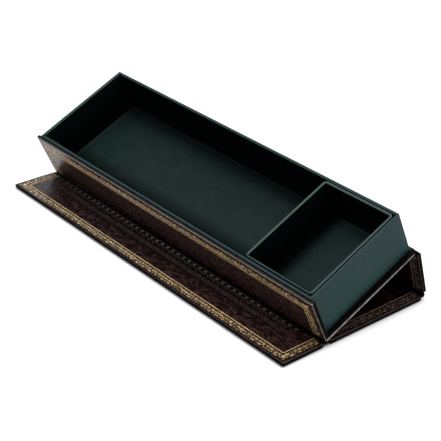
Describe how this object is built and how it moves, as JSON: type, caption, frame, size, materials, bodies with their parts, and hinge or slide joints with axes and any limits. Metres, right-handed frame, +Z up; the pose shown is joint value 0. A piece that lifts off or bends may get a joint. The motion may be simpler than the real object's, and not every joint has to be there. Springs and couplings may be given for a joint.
{
  "type": "pen case",
  "caption": "Leather-covered pen case folded back into a stand: a paper-covered tray with a loose insert box, on a wrap-round cover of hinged boards.",
  "frame": {"origin": "on the table under the middle of the whole case as it stands folded back", "axes": "+X along the case to the end that holds the insert box, +Y to the back where the spine stands, +Z up"},
  "size_m": [0.22, 0.0954, 0.0537],
  "materials": {
    "card": "grey bookbinding board",
    "cover_paper": "dark teal grained paper, satin",
    "lining_paper": "darker teal lining paper, matt",
    "leather": "dark brown grained leather, semi-gloss, with gold-tooled and blind-tooled borders",
    "magnet_steel": "nickel plated"
  },
  "bodies": {
    "tray": {"tray_floor_board": "card", "tray_front_wall": "card", "tray_back_wall": "card", "tray_left_wall": "card", "tray_right_wall": "card", "tray_wrap": "cover_paper", "tray_liner": "lining_paper", "tray_floor_pad": "lining_paper", "base_board": "card", "base_filler": "card", "front_board": "card", "front_filler": "card", "front_magnets": "magnet_steel", "body_leather": "leather"},
    "insert": {"insert_floor_board": "card", "insert_front_wall": "card", "insert_back_wall": "card", "insert_left_wall": "card", "insert_right_wall": "card", "insert_wrap": "cover_paper", "insert_liner": "lining_paper", "insert_floor_pad": "lining_paper"},
    "spine": {"spine_board": "card", "spine_leather": "leather", "spine_lining": "lining_paper", "spine_joint": "leather", "lid_joint": "leather"},
    "lid": {"lid_board": "card", "lid_leather": "leather", "lid_lining": "lining_paper", "flap_joint": "leather"},
    "flap": {"flap_board": "card", "flap_leather": "leather", "flap_lining": "lining_paper", "flap_magnets": "magnet_steel"}
  },
  "joints": [
    {"name": "insert_slide", "type": "slide", "parent": "tray", "child": "insert", "axis": [-1, 0, 0], "range_m": [0, 0.1667]},
    {"name": "spine_hinge", "type": "hinge", "parent": "tray", "child": "spine", "pos_m": [0, 0.0373, 0.03019], "axis": [1, 0, 0], "range_deg": [0, 187.33], "deforming": ["spine_joint"]},
    {"name": "lid_hinge", "type": "hinge", "parent": "spine", "child": "lid", "pos_m": [0, 0.0465, 0.00195], "axis": [1, 0, 0], "range_deg": [0, 198.04], "deforming": ["lid_joint"]},
    {"name": "flap_hinge", "type": "hinge", "parent": "lid", "child": "flap", "pos_m": [0, -0.0199, 0.00195], "axis": [1, 0, 0], "range_deg": [-40, 90], "deforming": ["flap_joint"]}
  ]
}
